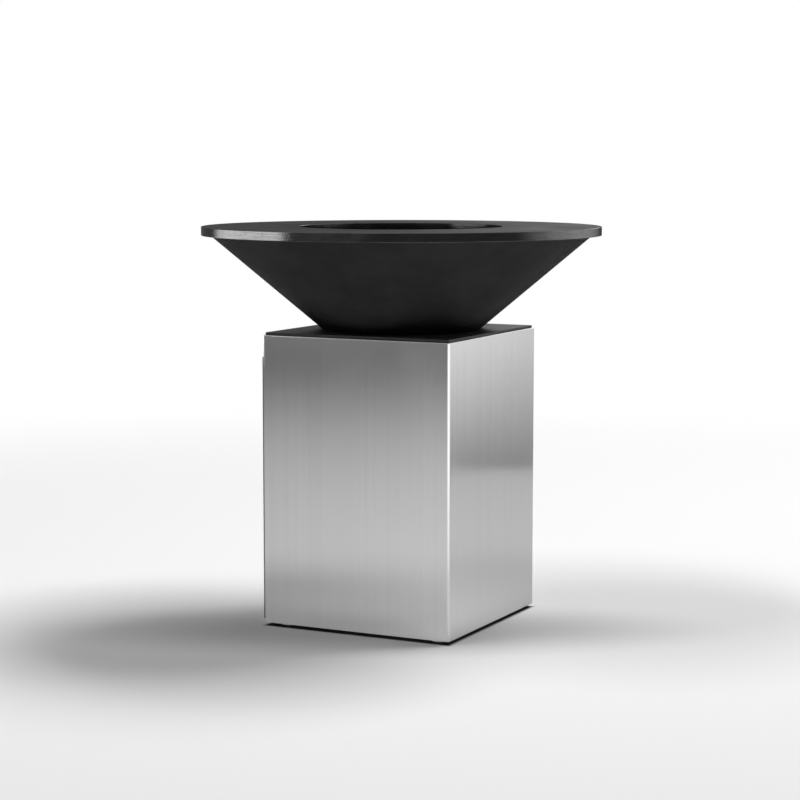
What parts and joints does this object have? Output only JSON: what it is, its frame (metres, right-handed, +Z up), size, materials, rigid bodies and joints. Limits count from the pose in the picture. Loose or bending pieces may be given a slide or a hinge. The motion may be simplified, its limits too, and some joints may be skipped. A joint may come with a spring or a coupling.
{
  "type": "wood-fired plancha grill",
  "caption": "Thick steel cooking ring over a conical fire bowl, on a square stainless pedestal with a hinged door, an ash drawer, an air damper and levelling feet.",
  "frame": {"origin": "centre of the square pedestal, on the floor", "axes": "+Z up; the wide bare face of the pedestal looks along -Y and the door is in the -X face"},
  "size_m": [0.9779, 0.978, 0.971],
  "materials": {
    "stainless": "satin brushed",
    "black_steel": "heat-proof black, satin",
    "plate_steel": "oiled and seasoned steel",
    "zinc": "zinc plated",
    "bare_steel": "mill finish",
    "grate_iron": "rough cast",
    "catch_plastic": "moulded"
  },
  "bodies": {
    "pedestal": {"casing": "stainless", "corner_posts": "bare_steel", "door_frame": "bare_steel", "floor_sheet": "stainless", "foot_brackets": "bare_steel", "foot_lock_nuts": "zinc", "deck_plate": "black_steel", "deck_studs": "zinc", "deck_nuts": "zinc", "bowl_shell": "black_steel", "bowl_floor": "black_steel", "rim_ring": "black_steel", "bowl_bolts": "zinc", "bowl_nuts": "zinc", "damper_pivot": "zinc", "pivot_washer": "zinc", "pivot_nut": "zinc", "ash_chute": "bare_steel", "drawer_rails": "stainless", "hinge_frame_halves": "stainless", "hinge_pins": "zinc", "catch_housing": "catch_plastic", "catch_magnet": "bare_steel", "catch_screws": "zinc"},
    "door": {"door_panel": "stainless", "door_ribs": "stainless", "door_handle": "stainless", "handle_screws": "zinc", "hinge_door_halves": "stainless", "strike_plate": "bare_steel"},
    "drawer": {"ash_drawer": "stainless", "drawer_handle": "stainless"},
    "damper": {"damper_disc": "bare_steel", "damper_knob": "stainless"},
    "grate": {"fire_grate": "grate_iron"},
    "plate": {"cooking_plate": "plate_steel", "locating_pegs": "black_steel"},
    "foot_front_left": {"foot_front_left": "zinc"},
    "foot_front_right": {"foot_front_right": "zinc"},
    "foot_rear_left": {"foot_rear_left": "zinc"},
    "foot_rear_right": {"foot_rear_right": "zinc"}
  },
  "joints": [
    {"name": "door_hinge", "type": "hinge", "parent": "pedestal", "child": "door", "pos_m": [-0.2574, 0.232, 0.3375], "axis": [0, 0, -1], "range_deg": [0, 110]},
    {"name": "drawer_slide", "type": "slide", "parent": "pedestal", "child": "drawer", "axis": [-1, 0, 0], "range_m": [0, 0.09]},
    {"name": "damper_turn", "type": "hinge", "parent": "pedestal", "child": "damper", "pos_m": [0, 0, 0.711], "axis": [0, 0, 1], "range_deg": [0, 45]},
    {"name": "grate_lift", "type": "slide", "parent": "pedestal", "child": "grate", "axis": [0, 0, 1], "range_m": [0, 0.3]},
    {"name": "plate_lift", "type": "slide", "parent": "pedestal", "child": "plate", "axis": [0, 0, 1], "range_m": [0, 0.25]},
    {"name": "foot_front_left_screw", "type": "slide", "parent": "pedestal", "child": "foot_front_left", "axis": [0, 0, -1], "range_m": [0, 0.02]},
    {"name": "foot_front_right_screw", "type": "slide", "parent": "pedestal", "child": "foot_front_right", "axis": [0, 0, -1], "range_m": [0, 0.02]},
    {"name": "foot_rear_left_screw", "type": "slide", "parent": "pedestal", "child": "foot_rear_left", "axis": [0, 0, -1], "range_m": [0, 0.02]},
    {"name": "foot_rear_right_screw", "type": "slide", "parent": "pedestal", "child": "foot_rear_right", "axis": [0, 0, -1], "range_m": [0, 0.02]}
  ]
}
